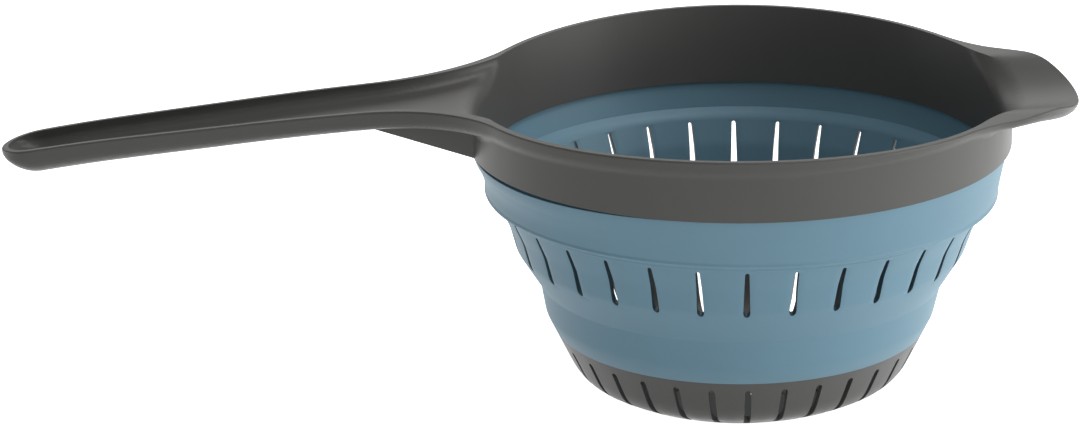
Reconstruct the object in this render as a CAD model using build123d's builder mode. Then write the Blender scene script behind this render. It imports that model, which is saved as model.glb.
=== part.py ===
from build123d import *
from math import atan2, cos, radians, sin, sqrt, tan
import os

# Folding colander: a rigid rim with a trough handle and a pouring lip, a rigid
# slotted strainer base, and a soft silicone wall moulded between the two.
# Millimetres. The origin is at the middle of the base's underside, +Z is up,
# the handle points to -X and the lip to +X.

# Overall sizes
height = 117.0
rim_r = 99.6
overrun = 5.0
cut_top_z = height + 2 * overrun

# Rim: a thin inner wall that leans out, a skirt outside it, and a groove between the two
rim_lean_deg = 10.1
rim_top_w = 2.4
inner_wall_h = 29.0
inner_wall_t = 1.2
skirt_inset = 1.3
skirt_t = 1.4
skirt_h = 21.8
groove_top_depth = 16.0
skirt_blend_r = 2.6
rim_edge_r = 0.7
skirt_r = rim_r - skirt_inset
skirt_foot_z = height - skirt_h
inner_wall_foot_z = height - inner_wall_h
groove_top_z = height - groove_top_depth

# The top of the rim and the handle lies on one long arc, seen from the side
crown_r = 1430.0
underside_r = 1305.0
rim_depth = 6.8

# Handle: an open trough that tapers to a round end, where its underside rises
handle_reach = 166.6
handle_tip_half_w = 13.4
handle_neck_reach = 35.4
handle_neck_half_w = 19.2
handle_flare_r = 60.0
handle_rise_r = 20.0
handle_rise_l = 15.4
handle_rise_deg = 55.0
under_round_r = 3.9
trough_wall_t = 2.3
trough_floor_t = 2.4
trough_corner_r = 4.0
mouth_lead = 1.0
mouth_round_r = 7.0
handle_tip_x = -(rim_r + handle_reach)
handle_neck_x = -(rim_r + handle_neck_reach)
handle_rise_x = handle_tip_x + handle_rise_l

# Gusset: a hollow wedge under the root of the handle
gusset_reach = 34.4
gusset_tip_half_w = 12.0
gusset_root_half_w = 25.0
gusset_t = 2.2
gusset_tip_x = -(rim_r + gusset_reach)
gusset_root_x = -sqrt((skirt_r - skirt_t / 2) ** 2 - gusset_root_half_w**2)

# Pouring lip: a thin plate bent up at its sides like a gutter
lip_reach = 22.0
lip_tip_r = 55.0
lip_flare_r = 60.0
lip_drop = 8.0
lip_bend_r = 92.0
lip_t = 3.4
lip_side_t = 4.1
lip_level_drop = 1.9
lip_root_inset = 27.6
lip_level_inset = 29.6
belly_half_w = 37.0
belly_blend_r = 40.0
spout_blend_r = 40.0
spout_side_tilt = 5.0
spout_round_r = 10.0
lip_tip_x = rim_r + lip_reach
lip_tip_z = height - lip_drop
lip_root_x = rim_r - lip_root_inset
lip_level_x = rim_r - lip_level_inset
lip_under_z = height - lip_level_drop - lip_side_t

# Clearance between two cuts that share a surface
hair = 0.02

# Bowl: one outer outline from the floor to the rim's foot, with two fold creases. Its points are
# shares of the wall's radius and height where it meets the rim's foot.
wall_t = 2.0
floor_z = 1.2
floor_flat_share = 0.468
base_corner_shares = (0.6436, 0.1068)
base_seam_share = 0.2886
low_shoulder_shares = (0.7572, 0.358)
low_crease_shares = (0.7774, 0.4841)
mid_shoulder_shares = (0.872, 0.6534)
mid_waist_shares = (0.887, 0.7443)
top_crease_share = 0.8523
top_shoulder_share = 0.8795
base_round_r = 14.0
shoulder_round_r = 9.0
crease_round_r = 1.6

# Silicone collar in the rim's groove, and the bead under the top shoulder
collar_free_depth = 20.4
bead_r = 0.9
bead_above_crease = 2.0
bead_share = 0.970

# Slots in the folding band
slot_count = 32
slot_above_crease = 12.2
slot_below_crease = 1.4
slot_low_w = 2.3
slot_high_w = 1.6

# Strainer base: foot ring, tongue under the silicone, corner slots and floor slots
foot_inset = 2.6
foot_w = 3.0
base_tongue_t = 1.1
base_tongue_h = 5.0
base_slot_w = 2.3
base_slot_below_seam = 3.3
base_slot_outset = 1.6
floor_slot_inset = 3.0
floor_slot_length = 20.0
floor_slot_count = 16
floor_slot_turn = 180 / floor_slot_count

lean = tan(radians(rim_lean_deg))


def inner_r(z):
    """Radius of the rim's inner face at a height; the silicone carries it on."""
    return rim_r - rim_top_w - (height - z) * lean


inner_wall_foot_r = inner_r(inner_wall_foot_z)
collar_free_z = height - collar_free_depth
low_crease_r = low_crease_shares[0] * (inner_wall_foot_r + wall_t)
low_crease_z = low_crease_shares[1] * inner_wall_foot_z
top_crease_z = top_crease_share * inner_wall_foot_z
base_seam_z = base_seam_share * inner_wall_foot_z
floor_flat_r = floor_flat_share * (inner_wall_foot_r + wall_t)
foot_r = floor_flat_r - foot_inset


def from_axis(point):
    """Distance of a point from the bowl's axis."""
    return sqrt(point.X**2 + point.Y**2)


def crown_z(x):
    """Height of the long arc along the top of the rim and handle."""
    return height - crown_r + sqrt(crown_r**2 - x**2)


def underside_z(x):
    """Height of the arc along the underside of the handle and the rim's bead."""
    return height - rim_depth - underside_r + sqrt(underside_r**2 - x**2)


def turned(*outline):
    """A solid turned about the bowl's axis from a closed outline of r, z points."""
    with BuildPart() as blank:
        with BuildSketch(Plane.XZ):
            with BuildLine():
                Polyline(*outline, close=True)
            make_face()
        revolve(axis=Axis.Z)
    return blank.part


def plan_outline(inset, ring_r):
    """The rim seen from above: a ring, with the handle and the lip growing out of it."""
    tip_r = handle_tip_half_w - inset
    tip_x = handle_tip_x + handle_tip_half_w
    taper = atan2(handle_neck_half_w - handle_tip_half_w, handle_neck_x - tip_x)
    along = Vector(cos(taper), sin(taper))
    across = Vector(-sin(taper), cos(taper))
    edge_offset = handle_tip_half_w + across.X * tip_x
    flare_across = edge_offset + handle_flare_r
    flare_along = -sqrt((ring_r + handle_flare_r + inset) ** 2 - flare_across**2)
    flare_center = along * flare_along + across * flare_across
    lip_x = lip_tip_x - lip_tip_r
    flare_reach = ring_r + lip_flare_r + inset
    lip_flare_x = (flare_reach**2 - (lip_tip_r + lip_flare_r) ** 2 + lip_x**2) / (2 * lip_x)
    lip_flare = Vector(lip_flare_x, sqrt(flare_reach**2 - lip_flare_x**2))
    lip_center = Vector(lip_x, 0)
    tip_side = Vector(tip_x, 0) + across * tip_r
    neck = along * flare_along + across * (edge_offset - inset)
    ring_left = flare_center.normalized() * ring_r
    ring_right = lip_flare.normalized() * ring_r
    lip_side = lip_center + (lip_flare - lip_center).normalized() * (lip_tip_r - inset)
    with BuildSketch() as outline:
        with BuildLine():
            TangentArc((tip_x - tip_r, 0), tip_side, tangent=(0, 1))
            Line(tip_side, neck)
            TangentArc(neck, ring_left, tangent=along)
            ThreePointArc(ring_left, (0, ring_r), ring_right)
            RadiusArc(ring_right, lip_side, -(lip_flare_r + inset))
            TangentArc(lip_side, (lip_tip_x - inset, 0), tangent=(0, -1), tangent_from_first=False)
            mirror(about=Plane.XZ)
        make_face()
    return outline.sketch


def tip_rise(along, rise_r):
    """The arc that carries the underside, or the trough's floor, up towards the handle's tip."""
    heading = along % 1
    up = Vector(heading.Y, -heading.X)
    turn = radians(handle_rise_deg)
    end = along @ 1 + (heading * sin(turn) + up * (1 - cos(turn))) * rise_r
    return TangentArc(along @ 1, end, tangent=heading)


far_left = handle_tip_x - overrun
far_right = lip_tip_x + overrun


# Gusset: a wedge that carries the skirt out under the handle, hollow and open below
with BuildPart() as gusset:
    for inset, mode in ((0, Mode.ADD), (gusset_t, Mode.SUBTRACT)):
        with BuildSketch(Plane.XY.offset(skirt_foot_z - overrun)):
            with BuildLine():
                Polyline(
                    (gusset_tip_x + inset, gusset_tip_half_w - inset),
                    (gusset_root_x, gusset_root_half_w - inset),
                    (gusset_root_x, inset - gusset_root_half_w),
                    (gusset_tip_x + inset, inset - gusset_tip_half_w),
                    close=True,
                )
            make_face()
        extrude(amount=underside_z(gusset_root_x) + trough_floor_t / 2 + overrun - skirt_foot_z, mode=mode)
    with BuildSketch(Plane.XZ):
        with BuildLine():
            Polyline(
                (gusset_tip_x, skirt_foot_z - overrun),
                (gusset_tip_x, underside_z(gusset_tip_x)),
                (gusset_root_x, skirt_foot_z),
                (gusset_root_x, skirt_foot_z - overrun),
                close=True,
            )
        make_face()
    extrude(amount=rim_r, both=True, mode=Mode.SUBTRACT)

# Hollow of the handle: it opens into the bowl, and its floor follows the underside
with BuildPart() as trough:
    with BuildSketch(Plane.XY):
        add(plan_outline(trough_wall_t, inner_r(height - rim_depth) - mouth_lead))
        Rectangle(far_right, 2 * rim_r, align=(Align.MIN, Align.CENTER), mode=Mode.SUBTRACT)
    extrude(amount=cut_top_z)
    with BuildSketch(Plane.XZ):
        with BuildLine():
            trough_floor = ThreePointArc(
                (overrun, underside_z(overrun) + trough_floor_t),
                (handle_neck_x, underside_z(handle_neck_x) + trough_floor_t),
                (handle_rise_x, underside_z(handle_rise_x) + trough_floor_t),
            )
            trough_rise = tip_rise(trough_floor, handle_rise_r - trough_floor_t)
            Polyline(
                trough_rise @ 1,
                (far_left, height),
                (far_left, -overrun),
                (overrun, -overrun),
                trough_floor @ 0,
            )
        make_face()
    extrude(amount=2 * rim_r, both=True, mode=Mode.SUBTRACT)
    trough_rim = trough.edges().filter_by(Axis.Z, reverse=True)
    fillet(
        trough_rim.filter_by(
            lambda edge: edge.center().Z < height and from_axis(edge.center()) > inner_wall_foot_r
        ),
        trough_corner_r,
    )

# Hollow of the whole rim: the bowl's leaning side runs out softly into the trough and the spout
with BuildPart() as hollow:
    add(turned((0, 0), (inner_r(0), 0), (inner_r(cut_top_z), cut_top_z), (0, cut_top_z)))
    add(trough.part)
    with BuildSketch(Plane.YZ.offset(lip_root_x)):
        with Locations((0, lip_tip_z + lip_bend_r + hair)):
            Circle(lip_bend_r)
        Rectangle(2 * rim_r, cut_top_z, align=(Align.CENTER, Align.MIN), mode=Mode.INTERSECT)
    extrude(amount=rim_r)
    on_side = hollow.edges().filter_by(
        lambda edge: 0 < edge.center().Z < cut_top_z - hair
        and abs(from_axis(edge @ 0.5) - inner_r((edge @ 0.5).Z)) < hair
    )
    mouth = on_side.filter_by(lambda edge: edge.center().X < -lip_root_x)
    spout = on_side.filter_by(lambda edge: edge.center().X > lip_root_x and edge.center().Z > lip_tip_z)
    fillet(spout, spout_round_r)
    fillet(mouth, mouth_round_r)

# Rim frame: one rigid moulding of rim, handle, gusset and pouring lip
with BuildPart() as rim_frame:
    with BuildSketch(Plane.XY):
        add(plan_outline(0, rim_r))
    extrude(amount=height + overrun)
    with BuildSketch(Plane.XZ):
        with BuildLine():
            under_handle = ThreePointArc(
                (0, underside_z(0)),
                (far_left / 2, underside_z(far_left / 2)),
                (handle_rise_x, underside_z(handle_rise_x)),
            )
            under_tip = tip_rise(under_handle, handle_rise_r)
            rise = TangentArc(
                under_handle @ 0,
                (lip_root_x / 2, (underside_z(0) + lip_under_z) / 2),
                tangent=(1, 0),
            )
            TangentArc(rise @ 1, (lip_root_x, lip_under_z), tangent=rise % 1)
            Polyline(
                (lip_root_x, lip_under_z),
                (lip_root_x, -overrun),
                (far_left, -overrun),
                (far_left, height),
                under_tip @ 1,
            )
        make_face()
    extrude(amount=2 * rim_r, both=True, mode=Mode.SUBTRACT)
    with BuildSketch(Plane.YZ.offset(lip_root_x)):
        with BuildLine():
            belly = ThreePointArc(
                (-belly_half_w, lip_under_z),
                (0, lip_tip_z - lip_t),
                (belly_half_w, lip_under_z),
            )
            Line((-2 * rim_r, lip_under_z), belly @ 0)
            Line(belly @ 1, (2 * rim_r, lip_under_z))
            Polyline(
                (2 * rim_r, lip_under_z),
                (2 * rim_r, -overrun),
                (-2 * rim_r, -overrun),
                (-2 * rim_r, lip_under_z),
            )
        make_face()
        fillet(
            [
                vertices().sort_by_distance((-belly_half_w, lip_under_z))[0],
                vertices().sort_by_distance((belly_half_w, lip_under_z))[0],
            ],
            belly_blend_r,
        )
    extrude(amount=rim_r, mode=Mode.SUBTRACT)
    outline_edges = rim_frame.edges().filter_by(Axis.Z, reverse=True)
    fillet(
        outline_edges.filter_by(
            lambda edge: edge.center().Z < height
            and min(from_axis(edge @ 0), from_axis(edge @ 1), from_axis(edge.center())) > skirt_r
        ),
        under_round_r,
    )
    add(
        turned(
            (inner_wall_foot_r, inner_wall_foot_z),
            (inner_wall_foot_r + inner_wall_t, inner_wall_foot_z),
            (inner_r(groove_top_z) + inner_wall_t, groove_top_z),
            (skirt_r - skirt_t, groove_top_z),
            (skirt_r - skirt_t, skirt_foot_z),
            (skirt_r, skirt_foot_z),
            (skirt_r, height + overrun),
            (inner_wall_foot_r, height + overrun),
        )
    )
    skirt_joint = rim_frame.edges().filter_by(
        lambda edge: skirt_foot_z + overrun < edge.center().Z < height
        and max(abs(from_axis(edge @ share) - skirt_r) for share in (0, 0.5, 1)) < hair
    )
    fillet(skirt_joint, skirt_blend_r)
    add(gusset.part)
    with BuildSketch(Plane.XZ):
        with BuildLine():
            crown = ThreePointArc(
                (far_left, crown_z(far_left)),
                (0, height),
                (lip_level_x, crown_z(lip_level_x)),
            )
            TangentArc(crown @ 1, (far_right, height - lip_level_drop), tangent=crown % 1)
            Polyline(
                (far_right, height - lip_level_drop),
                (far_right, cut_top_z),
                (far_left, cut_top_z),
                crown @ 0,
            )
        make_face()
    extrude(amount=2 * rim_r, both=True, mode=Mode.SUBTRACT)
    rough_r = inner_r(0) - mouth_lead
    rough_top_r = inner_r(cut_top_z) - mouth_lead
    add(turned((0, 0), (rough_r, 0), (rough_top_r, cut_top_z), (0, cut_top_z)), mode=Mode.SUBTRACT)
    with BuildSketch(Plane.YZ.offset(lip_root_x)):
        with Locations((0, lip_tip_z + lip_bend_r)):
            Circle(lip_bend_r)
    extrude(amount=rim_r, mode=Mode.SUBTRACT)
    lip_edges = rim_frame.edges().filter_by(
        lambda edge: edge.center().X > lip_level_x and edge.center().Z > lip_under_z
    )
    spout_sides = lip_edges.filter_by(lambda edge: abs((edge % 0.5).X) > cos(radians(spout_side_tilt)))
    fillet(spout_sides, spout_blend_r)
    add(hollow.part, mode=Mode.SUBTRACT)
    fillet(rim_frame.edges().sort_by_distance(Vector(handle_tip_x, 0, crown_z(handle_tip_x)))[0], rim_edge_r)


def on_outline(shares):
    """A point of the bowl's outline, from its shares of the wall's radius and height at the rim's foot."""
    return (shares[0] * (inner_wall_foot_r + wall_t), shares[1] * inner_wall_foot_z)


def bowl_layer(depth, low_z, high_z):
    """The outer layer of the bowl's wall, to a depth, between two heights."""
    top_shoulder_z = top_shoulder_share * inner_wall_foot_z
    with BuildPart() as layer:
        with BuildSketch(Plane.XZ):
            with BuildLine():
                FilletPolyline(
                    (0, floor_z),
                    (floor_flat_r, floor_z),
                    on_outline(base_corner_shares),
                    on_outline(low_shoulder_shares),
                    on_outline(low_crease_shares),
                    on_outline(mid_shoulder_shares),
                    on_outline(mid_waist_shares),
                    (inner_r(top_shoulder_z) + wall_t, top_shoulder_z),
                    (inner_r(height) + wall_t, height),
                    radius=[
                        base_round_r,
                        base_round_r,
                        shoulder_round_r,
                        crease_round_r,
                        shoulder_round_r,
                        shoulder_round_r,
                        shoulder_round_r,
                    ],
                )
                offset(amount=depth, side=Side.LEFT)
            make_face()
            with Locations((0, low_z)):
                Rectangle(rim_r, high_z - low_z, align=(Align.MIN, Align.MIN), mode=Mode.INTERSECT)
        revolve(axis=Axis.Z)
    return layer.part


# Upper band: silicone shoulder under the rim, with a collar held in the rim's groove
bead_center_r = bead_share * (inner_wall_foot_r + wall_t)
with BuildPart() as upper_band:
    add(bowl_layer(wall_t, top_crease_z, inner_wall_foot_z))
    with BuildSketch(Plane.XZ):
        with BuildLine():
            Polyline(
                (inner_wall_foot_r + inner_wall_t, inner_wall_foot_z),
                (inner_r(groove_top_z) + inner_wall_t, groove_top_z),
                (skirt_r - skirt_t, groove_top_z),
                (skirt_r - skirt_t, collar_free_z),
                (inner_r(collar_free_z) + wall_t, collar_free_z),
                (inner_wall_foot_r + wall_t, inner_wall_foot_z),
                close=True,
            )
        make_face()
        with Locations((bead_center_r, top_crease_z + bead_above_crease)):
            Circle(bead_r)
    revolve(axis=Axis.Z)

# One slot of the folding band, narrower at its top
with BuildPart() as band_slot:
    with BuildSketch(Plane.XZ.offset(low_crease_r)):
        with Locations((0, low_crease_z + slot_above_crease + slot_low_w / 2)):
            Circle(slot_low_w / 2)
        with Locations((0, top_crease_z - slot_below_crease - slot_high_w / 2)):
            Circle(slot_high_w / 2)
        make_hull()
    extrude(amount=rim_r - low_crease_r)

# Folding band: the slotted middle of the silicone wall, between its two creases
with BuildPart() as folding_band:
    add(bowl_layer(wall_t, low_crease_z, top_crease_z))
    with PolarLocations(0, slot_count):
        add(band_slot.part, mode=Mode.SUBTRACT)

# Lower band: silicone below the low crease, thinner where it covers the base's tongue
with BuildPart() as lower_band:
    add(bowl_layer(wall_t, base_seam_z + base_tongue_h, low_crease_z))
    add(bowl_layer(wall_t - base_tongue_t, base_seam_z, base_seam_z + base_tongue_h))

# One slot of the base, round at both ends, cut across the base's rounded corner
with BuildPart() as corner_slot:
    with BuildSketch(Plane.XY):
        with Locations((foot_r + base_slot_outset + rim_r / 2, 0)):
            SlotOverall(rim_r, base_slot_w)
    extrude(amount=base_seam_z)
    with BuildSketch(Plane.YZ):
        with Locations((0, base_seam_z - base_slot_below_seam - rim_r / 2)):
            SlotOverall(rim_r, base_slot_w, rotation=90)
    extrude(amount=2 * rim_r, mode=Mode.INTERSECT)

# Strainer base: rigid floor and corner, a foot ring, slots, and the tongue
with BuildPart() as strainer_base:
    add(bowl_layer(wall_t, 0, base_seam_z + base_tongue_h))
    add(
        bowl_layer(wall_t - base_tongue_t, base_seam_z, base_seam_z + base_tongue_h),
        mode=Mode.SUBTRACT,
    )
    with BuildSketch(Plane.XY):
        Circle(foot_r)
        Circle(foot_r - foot_w, mode=Mode.SUBTRACT)
    extrude(amount=floor_z + wall_t)
    with PolarLocations(0, slot_count, start_angle=-90):
        add(corner_slot.part, mode=Mode.SUBTRACT)
    with BuildSketch(Plane.XY):
        with PolarLocations(
            foot_r - foot_w - floor_slot_inset - floor_slot_length / 2,
            floor_slot_count,
            start_angle=floor_slot_turn,
        ):
            SlotOverall(floor_slot_length, base_slot_w)
    extrude(amount=floor_z + wall_t, mode=Mode.SUBTRACT)

os.makedirs("parts", exist_ok=True)
rim_frame.part.label = "rim_frame"
export_step(rim_frame.part, "parts/rim_frame.step")
upper_band.part.label = "upper_band"
export_step(upper_band.part, "parts/upper_band.step")
folding_band.part.label = "folding_band"
export_step(folding_band.part, "parts/folding_band.step")
lower_band.part.label = "lower_band"
export_step(lower_band.part, "parts/lower_band.step")
strainer_base.part.label = "strainer_base"
export_step(strainer_base.part, "parts/strainer_base.step")
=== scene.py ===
import math

import bmesh
import bpy
from mathutils import Matrix, Vector


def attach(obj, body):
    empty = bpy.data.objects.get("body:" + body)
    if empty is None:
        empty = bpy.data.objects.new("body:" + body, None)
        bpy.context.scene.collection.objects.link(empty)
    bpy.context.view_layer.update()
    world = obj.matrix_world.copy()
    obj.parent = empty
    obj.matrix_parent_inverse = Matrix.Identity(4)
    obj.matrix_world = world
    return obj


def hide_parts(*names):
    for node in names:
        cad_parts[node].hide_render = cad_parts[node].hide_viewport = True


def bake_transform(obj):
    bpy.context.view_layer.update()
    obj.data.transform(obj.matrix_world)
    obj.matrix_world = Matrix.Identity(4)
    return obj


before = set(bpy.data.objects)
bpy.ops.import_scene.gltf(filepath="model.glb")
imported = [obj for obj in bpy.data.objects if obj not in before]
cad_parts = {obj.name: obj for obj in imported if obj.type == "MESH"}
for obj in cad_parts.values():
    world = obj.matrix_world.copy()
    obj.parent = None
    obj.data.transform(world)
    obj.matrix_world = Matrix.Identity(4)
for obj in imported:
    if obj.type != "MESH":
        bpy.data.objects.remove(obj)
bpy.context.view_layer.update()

MM = 0.001  # plain sizes and heights are in millimetres


# Rim frame: one stiff moulding of ring, trough handle, gusset and pouring lip, in warm dark grey
# polypropylene with a fine satin grain. Its form comes from the construction model, and its small
# facets are merged into one smooth skin.
GREY = (0.079, 0.079, 0.076)
GREY_WARM = (0.091, 0.089, 0.083)
GREY_ROUGHNESS = 0.38
GREY_SPECULAR = 0.25
GREY_GRAIN_SIZE = 0.35 * MM
GREY_GRAIN_STRENGTH = 0.12
CLOUD_SIZE = 24 * MM
CLOUD_DETAIL = 3.0
CLOUD_GLOSS = 0.08
GRAIN_DETAIL = 1.0
GRAIN_DEPTH = 0.01 * MM
MERGE_GAP = 0.002 * MM
SHARP_ANGLE = math.radians(32)
TIP_LIFT_X = (-185.0, -257.0)
TIP_LIFT = 1.3
TIP_CURL_X = (-250.0, -265.0)
TIP_CURL = 1.0
TIP_TOP_Z = 92.0
TIP_DEEP = 7.0
HANDLE_SLOPE = math.radians(7.3)
HANDLE_DEEP = 8.5
HANDLE_HALF = 15.0
CROWN_R = 1430.0
RIM_TOP_Z = 117.0
WALL_ROUND_X = (-118.0, -150.0)
WALL_ROUND_FROM = 0.35
WALL_ROUND_END = 0.96
WALL_ROUND_IN = 4.2
WALL_ROUND_DOWN = 0.32
WALL_ROW_TOP = 112.5
WALL_ROW_STEP = 0.9
WALL_ROWS = 13
LIP_X = (92.0, 112.0)
LIP_LIFT = 0.8
LIP_WIDEN = 0.03
LIP_TURN_X = (98.0, 121.0)
LIP_SHIFT = 1.2
LIP_LONG = 1.0


class Wire:
    """The output of a shader node, which sums and products take as they take a number."""

    def __init__(self, finish, socket):
        self.finish = finish
        self.socket = socket

    def __add__(self, other):
        return self.finish.node("Math", {"operation": "ADD"}, Value=self, Value_001=other)

    def __mul__(self, other):
        return self.finish.node("Math", {"operation": "MULTIPLY"}, Value=self, Value_001=other)

    __radd__ = __add__
    __rmul__ = __mul__


class Finish:
    """A material under construction, on coordinates that are fixed to the object."""

    def __init__(self, name):
        self.material = bpy.data.materials.new(name)
        self.material.use_nodes = True
        self.tree = self.material.node_tree
        self.shader = self.tree.nodes["Principled BSDF"]
        self.place = self.node("TexCoord", output="Object")

    def join(self, value, socket):
        """Links a wire to a socket, or sets a plain value on it."""
        if isinstance(value, Wire):
            self.tree.links.new(value.socket, socket)
        else:
            socket.default_value = value

    def node(self, kind, settings=None, output=None, **values):
        """A new node: its settings first, then values or wires for its sockets' identifiers."""
        node = self.tree.nodes.new("ShaderNode" + kind)
        for name, value in (settings or {}).items():
            setattr(node, name, value)
        inputs = {socket.identifier: socket for socket in node.inputs}
        for name, value in values.items():
            self.join(value, inputs[name])
        outputs = {socket.identifier: socket for socket in node.outputs}
        return Wire(self, outputs[output] if output else node.outputs[0])

    def noise(self, size, detail):
        """Soft noise over the object, with lumps of about the given size."""
        return self.node("TexNoise", Vector=self.place, Scale=1 / size, Detail=detail)

    def blend(self, factor, first, second):
        """A mix of two colours."""
        return self.node(
            "Mix",
            {"data_type": "RGBA"},
            "Result_Color",
            Factor_Float=factor,
            A_Color=(*first, 1),
            B_Color=(*second, 1),
        )

    def feed(self, name, value):
        """Gives a value or a wire to a socket of the material's own shader."""
        self.join(value, self.shader.inputs[name])


def moulded_finish(name, first, second, roughness, specular, grain_size, grain_strength):
    """A moulded surface: faint clouds in its colour and gloss, and a fine grain from the mould."""
    finish = Finish(name)
    clouds = finish.noise(CLOUD_SIZE, CLOUD_DETAIL)
    grain = finish.noise(grain_size, GRAIN_DETAIL)
    bumps = finish.node("Bump", Height=grain, Strength=grain_strength, Distance=GRAIN_DEPTH)
    finish.feed("Base Color", finish.blend(clouds, first, second))
    finish.feed("Roughness", roughness - CLOUD_GLOSS / 2 + CLOUD_GLOSS * clouds)
    finish.feed("Specular IOR Level", specular)
    finish.feed("Normal", bumps)
    return finish.material


def share(value):
    """A value held between nothing and one."""
    return min(max(value, 0), 1)


def ramp(place, start, end):
    """A soft step from nothing at its start to one at its end."""
    along = share((place - start) / (end - start))
    return along * along * (3 - 2 * along)


def rim_shape(place):
    """A point of the real rim: its tip is higher and curled, its handle rounder, its lip open."""
    tip_deep = share((TIP_TOP_Z - place.z) / TIP_DEEP)
    lift = TIP_LIFT * ramp(place.x, *TIP_LIFT_X)
    lift += TIP_CURL * ramp(place.x, *TIP_CURL_X) * tip_deep
    crown_z = RIM_TOP_Z - place.x**2 / (2 * CROWN_R)
    deep = share((crown_z - place.z) / HANDLE_DEEP)
    under = max(deep - WALL_ROUND_FROM, 0) / (1 - WALL_ROUND_FROM)
    inward = WALL_ROUND_IN * ramp(place.x, *WALL_ROUND_X)
    inward *= 1 - math.sqrt(1 - WALL_ROUND_END * under**2)
    lift -= WALL_ROUND_DOWN * inward * min(abs(place.y) / HANDLE_HALF, 1)
    lip = ramp(place.x, *LIP_X)
    lip_turn = ramp(place.x, *LIP_TURN_X)
    across = place.y * (LIP_WIDEN * lip - inward / HANDLE_HALF) + LIP_SHIFT * lip_turn
    return place + Vector((LIP_LONG * lip_turn, across, lift + LIP_LIFT * lip))


def handle_rows():
    """Cuts along the handle's walls, which give their round enough rows of points."""
    slope = Vector((-math.sin(HANDLE_SLOPE), 0, math.cos(HANDLE_SLOPE)))
    start_x = WALL_ROUND_X[0]
    rows = []
    for step in range(WALL_ROWS):
        place = Vector((start_x, 0, WALL_ROW_TOP - step * WALL_ROW_STEP))
        rows.append((place * MM, slope, start_x * MM))
    return rows


def place_object(name, data):
    """A new object in the scene, at the origin."""
    thing = bpy.data.objects.new(name, data)
    bpy.context.collection.objects.link(thing)
    return thing


def smooth_copy(name, node, shape, cuts=()):
    """A copy of a construction node: its triangles merged, its points moved, its curves smooth."""
    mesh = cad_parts[node].data.copy()
    mesh.name = name
    bm = bmesh.new()
    bm.from_mesh(mesh)
    bmesh.ops.remove_doubles(bm, verts=bm.verts, dist=MERGE_GAP)
    bmesh.ops.dissolve_degenerate(bm, edges=bm.edges, dist=MERGE_GAP)
    for place, normal, limit in cuts:
        near = [face for face in bm.faces if face.calc_center_median().x < limit]
        parts = list({part for face in near for part in (face, *face.edges, *face.verts)})
        bmesh.ops.bisect_plane(bm, geom=parts, dist=MERGE_GAP, plane_co=place, plane_no=normal)
    for vert in bm.verts:
        vert.co = shape(vert.co / MM) * MM
    for edge in bm.edges:
        edge.smooth = len(edge.link_faces) == 2 and edge.calc_face_angle(0) < SHARP_ANGLE
    for face in bm.faces:
        face.smooth = True
        face.material_index = 0
    bm.to_mesh(mesh)
    bm.free()
    mesh.materials.clear()
    piece = place_object(name, mesh)
    weighted = piece.modifiers.new("even shading", "WEIGHTED_NORMAL")
    weighted.keep_sharp = True
    return piece


grey = moulded_finish(
    "grey_plastic",
    GREY,
    GREY_WARM,
    roughness=GREY_ROUGHNESS,
    specular=GREY_SPECULAR,
    grain_size=GREY_GRAIN_SIZE,
    grain_strength=GREY_GRAIN_STRENGTH,
)
rim = smooth_copy("rim_moulding", "rim_frame", rim_shape, handle_rows())
rim.data.materials.append(grey)
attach(rim, "rim")
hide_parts("rim_frame")


# Silicone wall: one soft blue moulding from the base to the rim, with a crease above and below its
# slotted middle, where it rolls over when the bowl folds. It is moulded onto the base's tongue and
# into the rim's groove.
WALL_THICK = 2.0
OUTLINE = (
    (66.1, 21.0),
    (71.2, 31.5),
    (73.1, 42.6),
    (81.7, 56.3),
    (84.2, 65.5),
    (88.3, 74.8),
    (92.3, 77.3),
    (94.7, 86.0),
    (96.2, 100.0),
)
OUTLINE_ROUNDS = (9.0, 1.6, 7.0, 17.0, 3.0, 2.2, 14.0)
ROUND_STEPS = 6
SEAM_Z = 25.4
TONGUE_TOP_Z = 30.4
TONGUE_SHARE = 0.45
RIM_FOOT_Z = 88.0
FOOT_SHARE = 0.90
COLLAR_SHARE = 0.40
COLLAR_TOP_Z = 99.0
THICKNESS_STEP = 0.05
SLOTS = 32
SLOT_PITCH = math.tau / SLOTS
COLUMNS_PER_SLOT = 8
COLUMNS = SLOTS * COLUMNS_PER_SLOT
COLUMN_PITCH = math.tau / COLUMNS
COLUMN_SLACK = 1.01
SLOT_LOW_Z = 54.8
SLOT_HIGH_Z = 73.6
SLOT_LOW_WIDTH = 2.5
SLOT_HIGH_WIDTH = 1.5
SLOT_POINT = 2.2
SLOT_END_STEPS = 4
SLOT_ROWS = 6
SLOT_EDGE_ROUND = 0.30
SLOT_EDGE_STEPS = 2
SLOT_EDGE_ANGLE = math.radians(50)
UNDER_SLOTS_Z = SLOT_LOW_Z - 2.0
BEAD_Z = 77.3
BEAD_HALF = 1.5
BEAD_OUT = 0.55
GROOVE_Z = 75.4
GROOVE_HALF = 0.9
GROOVE_IN = 0.6
BEAD_ROWS = 18
SHOULDER_ROWS = 20
TUCK_LOW_Z = 84.0
TUCK_OUT = 1.5
TUCK_EDGE_Z = 94.9
TUCK_TOP_Z = 96.9
TUCK_ROWS_Z = (94.9, 95.05, 95.4, 95.9)
SAG_TURN = math.radians(204)
SAG_SPREAD = math.radians(62)
SAG_Z = 84.0
SAG_HALF = 8.0
SAG_IN = 1.3
SAG_DOWN = 0.6
GAP_LOW_Z = 95.0
GAP_IN = 2.2
GAP_SPREAD = 2
GAP_DROP = 1.7
BULGE_TURN = math.radians(335)
BULGE_SPREAD = math.radians(85)
BULGE_Z = 70.0
BULGE_HALF = 26.0
BULGE_OUT = 1.3
DROP_Z = 77.0
DROP_HALF = 10.0
DROP = 1.3
HIP_Z = 46.0
HIP_HALF = 11.0
HIP_OUT = 0.9
WALL_TURN = math.radians(0.35)
TOUCH = 0.001
CLOSE_GAP = 0.01
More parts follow.
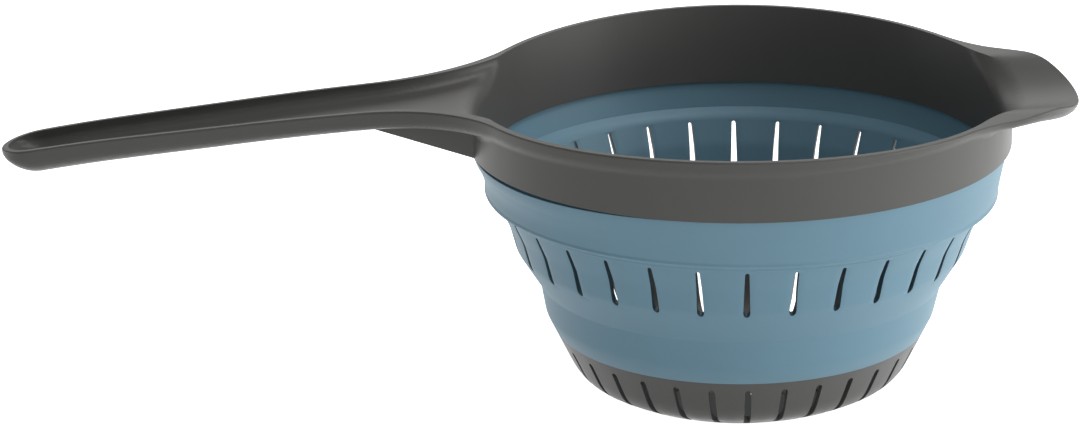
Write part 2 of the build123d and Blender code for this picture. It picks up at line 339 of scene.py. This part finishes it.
BLUE = (0.134, 0.262, 0.340)
BLUE_DEEP = (0.118, 0.236, 0.312)
# Painted shade: a near-black blue for the slots' side walls, standing in for the shade deep inside
# the narrow slots
SLOT_SHADE_BLUE = (0.020, 0.045, 0.060)
BLUE_ROUGHNESS = 0.50
BLUE_SPECULAR = 0.5
BLUE_GRAIN_SIZE = 0.5 * MM
BLUE_GRAIN_STRENGTH = 0.1


def slot_half_width(z):
    """Half of a slot's width at a height: round at both ends, and narrower at the top."""
    low_r = SLOT_LOW_WIDTH / 2
    high_r = SLOT_HIGH_WIDTH / 2
    if z <= SLOT_LOW_Z or z >= SLOT_HIGH_Z:
        return 0.0
    if z < SLOT_LOW_Z + SLOT_POINT:
        return low_r * math.sqrt(1 - ((SLOT_LOW_Z + SLOT_POINT - z) / SLOT_POINT) ** 2)
    if z > SLOT_HIGH_Z - high_r:
        return math.sqrt(high_r**2 - (z - SLOT_HIGH_Z + high_r) ** 2)
    along = (z - SLOT_LOW_Z - SLOT_POINT) / (SLOT_HIGH_Z - high_r - SLOT_LOW_Z - SLOT_POINT)
    return low_r + (high_r - low_r) * along


def off_slot(place):
    """How far a point is turned away from the middle of its nearest slot."""
    turn = math.atan2(place.y, place.x) / SLOT_PITCH
    return (turn - round(turn)) * SLOT_PITCH


def wall_rows():
    """Heights at which the wall's rings of edges lie, closer together round the slots' ends."""
    high_r = SLOT_HIGH_WIDTH / 2
    rows = [SEAM_Z, TONGUE_TOP_Z, TONGUE_TOP_Z + THICKNESS_STEP]
    rows += [RIM_FOOT_Z - THICKNESS_STEP, RIM_FOOT_Z, COLLAR_TOP_Z]
    for step in range(SLOT_END_STEPS + 1):
        turn = step / SLOT_END_STEPS * math.pi / 2
        rows.append(SLOT_LOW_Z + SLOT_POINT * (1 - math.cos(turn)))
        rows.append(SLOT_HIGH_Z - high_r * (1 - math.cos(turn)))
    for step in range(1, SLOT_ROWS):
        rows.append(SLOT_LOW_Z + (SLOT_HIGH_Z - SLOT_LOW_Z) * step / SLOT_ROWS)
    bead_low = GROOVE_Z - GROOVE_HALF
    bead_top = BEAD_Z + BEAD_HALF
    for step in range(BEAD_ROWS + 1):
        rows.append(bead_low + (bead_top - bead_low) * step / BEAD_ROWS)
    for step in range(1, SHOULDER_ROWS):
        rows.append(bead_top + (TUCK_EDGE_Z - bead_top) * step / SHOULDER_ROWS)
    return rows + [UNDER_SLOTS_Z, *TUCK_ROWS_Z]


def wall_skin():
    """The wall's outer skin: its outline, rounded at each bend, cut at each row, and spun."""
    bm = bmesh.new()
    verts = [bm.verts.new((r, 0, z)) for r, z in OUTLINE]
    for first, second in zip(verts, verts[1:]):
        bm.edges.new((first, second))
    for vert, radius in zip(verts[1:-1], OUTLINE_ROUNDS):
        ways = [(edge.other_vert(vert).co - vert.co).normalized() for edge in vert.link_edges]
        turn = math.pi - ways[0].angle(ways[1])
        bmesh.ops.bevel(
            bm,
            geom=[vert],
            offset=radius * math.tan(turn / 2),
            offset_type="OFFSET",
            affect="VERTICES",
            segments=ROUND_STEPS,
            profile=0.5,
            material=-1,
        )
    for z in wall_rows():
        line = bm.verts[:] + bm.edges[:]
        bmesh.ops.bisect_plane(bm, geom=line, dist=TOUCH, plane_co=(0, 0, z), plane_no=(0, 0, 1))
    below_seam = [vert for vert in bm.verts if vert.co.z < SEAM_Z - TOUCH]
    above_collar = [vert for vert in bm.verts if vert.co.z > COLLAR_TOP_Z + TOUCH]
    bmesh.ops.delete(bm, geom=below_seam + above_collar, context="VERTS")
    bmesh.ops.spin(
        bm,
        geom=bm.verts[:] + bm.edges[:],
        cent=(0, 0, 0),
        axis=(0, 0, 1),
        dvec=(0, 0, 0),
        angle=math.tau,
        steps=COLUMNS,
        use_merge=True,
    )
    return bm


def cut_slots(bm):
    """Opens two columns of faces for each slot, and turns the others to fit the slots' width."""
    open_faces = []
    for face in bm.faces:
        centre = face.calc_center_median()
        if SLOT_LOW_Z < centre.z < SLOT_HIGH_Z and abs(off_slot(centre)) < COLUMN_PITCH:
            open_faces.append(face)
    bmesh.ops.delete(bm, geom=open_faces, context="FACES")
    for vert in bm.verts:
        if not SLOT_LOW_Z - TOUCH < vert.co.z < SLOT_HIGH_Z + TOUCH:
            continue
        across = off_slot(vert.co)
        half = slot_half_width(vert.co.z) / math.hypot(vert.co.x, vert.co.y)
        if abs(across) <= COLUMN_SLACK * COLUMN_PITCH:
            wanted = across * half / COLUMN_PITCH
        else:
            past = (abs(across) - COLUMN_PITCH) / (SLOT_PITCH / 2 - COLUMN_PITCH)
            wanted = math.copysign(half + past * (SLOT_PITCH / 2 - half), across)
        vert.co = Matrix.Rotation(wanted - across, 3, "Z") @ vert.co
    bmesh.ops.remove_doubles(bm, verts=bm.verts, dist=CLOSE_GAP)
    bmesh.ops.recalc_face_normals(bm, faces=bm.faces)


def thickness_share(z):
    """The wall's thickness at a height, as a share of its full thickness."""
    if z < TONGUE_TOP_Z + THICKNESS_STEP / 2:
        return TONGUE_SHARE
    if z > RIM_FOOT_Z - THICKNESS_STEP / 2:
        return COLLAR_SHARE
    return 1 - (1 - FOOT_SHARE) * max(z - BEAD_Z, 0) / (RIM_FOOT_Z - BEAD_Z)


def swell(place, middle, half):
    """A smooth hump: one at its middle, and nothing from half its width outwards."""
    away = abs(place - middle) / half
    return 0.5 + 0.5 * math.cos(math.pi * away) if away < 1 else 0.0


def moulded_wall(place, outside):
    """A point of the real wall: its bead, its tuck into the rim, its sag and gap, its bulge."""
    z = place.z
    turn = math.atan2(place.y, place.x)
    sagging = swell(turn % math.tau, SAG_TURN, SAG_SPREAD)
    sag = sagging * swell(z, SAG_Z, SAG_HALF)
    bulging = max(swell(turn + lap, BULGE_TURN, BULGE_SPREAD) for lap in (0, math.tau))
    out = BULGE_OUT * swell(z, BULGE_Z, BULGE_HALF) + HIP_OUT * swell(z, HIP_Z, HIP_HALF)
    out = bulging * out - SAG_IN * sag
    lift = -SAG_DOWN * sag - DROP * bulging * swell(z, DROP_Z, DROP_HALF)
    if outside:
        out += BEAD_OUT * swell(z, BEAD_Z, BEAD_HALF) - GROOVE_IN * swell(z, GROOVE_Z, GROOVE_HALF)
        out += TUCK_OUT * swell(z, TUCK_TOP_Z, TUCK_TOP_Z - TUCK_LOW_Z)
        if z > GAP_LOW_Z:
            out -= GAP_IN * min(sagging * GAP_SPREAD, 1)
        if z > RIM_FOOT_Z:
            lift -= GAP_DROP * sagging * (z - RIM_FOOT_Z) / (TUCK_EDGE_Z - RIM_FOOT_Z)
    level = Vector((place.x, place.y, 0)).normalized()
    return Matrix.Rotation(WALL_TURN, 3, "Z") @ (place + out * level + Vector((0, 0, lift)))


def blue_silicone(name, light, deep):
    """Matte blue silicone with a velvety surface."""
    return moulded_finish(
        name,
        deep,
        light,
        roughness=BLUE_ROUGHNESS,
        specular=BLUE_SPECULAR,
        grain_size=BLUE_GRAIN_SIZE,
        grain_strength=BLUE_GRAIN_STRENGTH,
    )


def new_mesh(name, bm):
    """The mesh of a finished bmesh."""
    mesh = bpy.data.meshes.new(name)
    bm.to_mesh(mesh)
    bm.free()
    return mesh


def apply_modifiers(piece):
    """Makes what a piece's modifiers do part of its mesh."""
    graph = bpy.context.evaluated_depsgraph_get()
    mesh = bpy.data.meshes.new_from_object(piece.evaluated_get(graph))
    piece.modifiers.clear()
    piece.data = mesh


bm = wall_skin()
cut_slots(bm)
bmesh.ops.scale(bm, vec=(MM, MM, MM), verts=bm.verts)
for face in bm.faces:
    face.smooth = True
wall = place_object("silicone_wall", new_mesh("silicone_wall", bm))
outer_points = len(wall.data.vertices)
thick = wall.vertex_groups.new(name="thickness")
for vert in wall.data.vertices:
    thick.add([vert.index], thickness_share(vert.co.z / MM), "REPLACE")
solid = wall.modifiers.new("wall thickness", "SOLIDIFY")
solid.thickness = WALL_THICK * MM
solid.offset = -1
solid.vertex_group = "thickness"
solid.use_even_offset = True
# The rim faces that solidify makes, the slots' side walls, take the second material, which paints
# shade on them
solid.material_offset_rim = 1
wall.data.materials.append(blue_silicone("blue_silicone", BLUE, BLUE_DEEP))
# The second material is the same silicone with painted shade, for the slots' side walls
wall.data.materials.append(blue_silicone("blue_silicone_painted_slot_shade", SLOT_SHADE_BLUE, SLOT_SHADE_BLUE))
apply_modifiers(wall)
for vert in wall.data.vertices:
    vert.co = moulded_wall(vert.co / MM, vert.index < outer_points) * MM
soft = wall.modifiers.new("moulded edges", "BEVEL")
soft.width = SLOT_EDGE_ROUND * MM
soft.segments = SLOT_EDGE_STEPS
soft.limit_method = "ANGLE"
soft.angle_limit = SLOT_EDGE_ANGLE
apply_modifiers(wall)
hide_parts("upper_band", "folding_band", "lower_band")
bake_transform(wall)


# Strainer base: the stiff floor of the bowl, moulded in the rim's grey plastic, with a rounded
# corner that slots run across and a plain ring underneath to stand on.
BASE_TURN = math.radians(1.25)
BASE_FULL = 0.5
BASE_FULL_Z = 5.0
BASE_FULL_HALF = 8.0
BASE_FULL_R = (42.0, 50.0)


def base_shape(place):
    """A point of the real base: its corner is a little fuller, and it sits turned in the wall."""
    distance = math.hypot(place.x, place.y)
    full = BASE_FULL * swell(place.z, BASE_FULL_Z, BASE_FULL_HALF) * ramp(distance, *BASE_FULL_R)
    level = Vector((place.x, place.y, 0)).normalized()
    return Matrix.Rotation(BASE_TURN, 3, "Z") @ (place + full * level - Vector((0, 0, full)))


base = smooth_copy("base_moulding", "strainer_base", base_shape)
base.data.materials.append(grey)
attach(base, "base")
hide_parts("strainer_base")


# Studio: white paper under soft light, strongest from the right and from above, with weaker cards
# low down at the left, the right and the front, and the camera of the photograph, which looks
# slightly down from in front. Lamps are placed and sized in metres, with their power in watts.
CAMERA_TARGET = Vector((0, 0, 88 * MM))
CAMERA_DISTANCE = 1.414
CAMERA_TURN = math.radians(-1.3)
CAMERA_TILT = math.radians(17.8)
CAMERA_CLIP = (0.05, 20)
IMAGE_WIDTH = 1080
IMAGE_HEIGHT = 429
FOCAL_PIXELS = 3900
TARGET_PIXEL = (740, 154.9)
SENSOR = 36.0
LAMPS = (
    ("left card", (-1.1, 0.35, 0.18), (0.9, 0.25), 1.5),
    ("right lamp", (1.2, -0.1, 0.35), (0.9, 0.9), 10.2),
    ("top lamp", (0.5, 0.2, 1.5), (1.0, 1.0), 9.5),
    ("back lamp", (-0.1, 1.2, 0.5), (1.2, 0.5), 2.0),
    ("front lamp", (-0.1, -1.3, 1.4), (1.0, 0.8), 1.2),
    ("low card", (0.9, -0.7, 0.08), (0.8, 0.25), 2.6),
    ("front card", (-0.25, -0.9, 0.06), (0.9, 0.12), 0.7),
)
FLOOR_HALF = 8.0
FLOOR_Z = -0.05
FLOOR_WHITE = 0.9
FLOOR_GLOW = 1.0
WORLD_FILL = 0.27


def studio_camera():
    """The photograph's camera: level from side to side, a little left of the bowl's front."""
    data = bpy.data.cameras.new("camera")
    data.sensor_width = SENSOR
    data.lens = FOCAL_PIXELS / IMAGE_WIDTH * SENSOR
    data.shift_x = (IMAGE_WIDTH / 2 - TARGET_PIXEL[0]) / IMAGE_WIDTH
    data.shift_y = (TARGET_PIXEL[1] - IMAGE_HEIGHT / 2) / IMAGE_WIDTH
    data.clip_start, data.clip_end = CAMERA_CLIP
    away = Vector((0, -math.cos(CAMERA_TILT), math.sin(CAMERA_TILT)))
    away.rotate(Matrix.Rotation(CAMERA_TURN, 3, "Z"))
    camera = place_object("camera", data)
    camera.location = CAMERA_TARGET + CAMERA_DISTANCE * away
    camera.rotation_euler = away.to_track_quat("Z", "Y").to_euler()
    bpy.context.scene.camera = camera


def soft_lamp(name, place, size, power):
    """A soft rectangle of light that faces the bowl."""
    data = bpy.data.lights.new(name, "AREA")
    data.shape = "RECTANGLE"
    data.size, data.size_y = size
    data.energy = power
    lamp = place_object(name, data)
    lamp.location = place
    lamp.rotation_euler = (Vector(place) - CAMERA_TARGET).to_track_quat("Z", "Y").to_euler()


def seen_directly(finish):
    """One for rays from the camera, a mirror or glass, and nothing for scattered light."""
    camera = finish.node("LightPath", output="Is Camera Ray")
    glossy = finish.node("LightPath", output="Is Glossy Ray")
    through = finish.node("LightPath", output="Is Transmission Ray")
    return camera + glossy + through


def white_paper():
    """Dull white paper that looks pure white, and lights the object only as paper does."""
    finish = Finish("white_paper")
    finish.feed("Base Color", (FLOOR_WHITE, FLOOR_WHITE, FLOOR_WHITE, 1))
    finish.feed("Roughness", 1.0)
    finish.feed("Specular IOR Level", 0.0)
    finish.feed("Emission Strength", FLOOR_GLOW)
    finish.feed("Emission Color", seen_directly(finish))
    return finish.material


def white_floor():
    """A wide sheet of paper just under the foot ring."""
    bm = bmesh.new()
    bmesh.ops.create_grid(bm, x_segments=1, y_segments=1, size=FLOOR_HALF)
    bmesh.ops.translate(bm, vec=(0, 0, FLOOR_Z * MM), verts=bm.verts)
    floor = place_object("floor", new_mesh("floor", bm))
    floor.data.materials.append(white_paper())


def pale_world():
    """Even pale light from all round."""
    world = bpy.data.worlds.new("pale")
    bpy.context.scene.world = world
    world.use_nodes = True
    sky = world.node_tree.nodes["Background"]
    sky.inputs["Color"].default_value = (1, 1, 1, 1)
    sky.inputs["Strength"].default_value = WORLD_FILL


studio_camera()
for name, place, size, power in LAMPS:
    soft_lamp(name, place, size, power)
white_floor()
pale_world()
bpy.context.scene.view_settings.view_transform = "Standard"
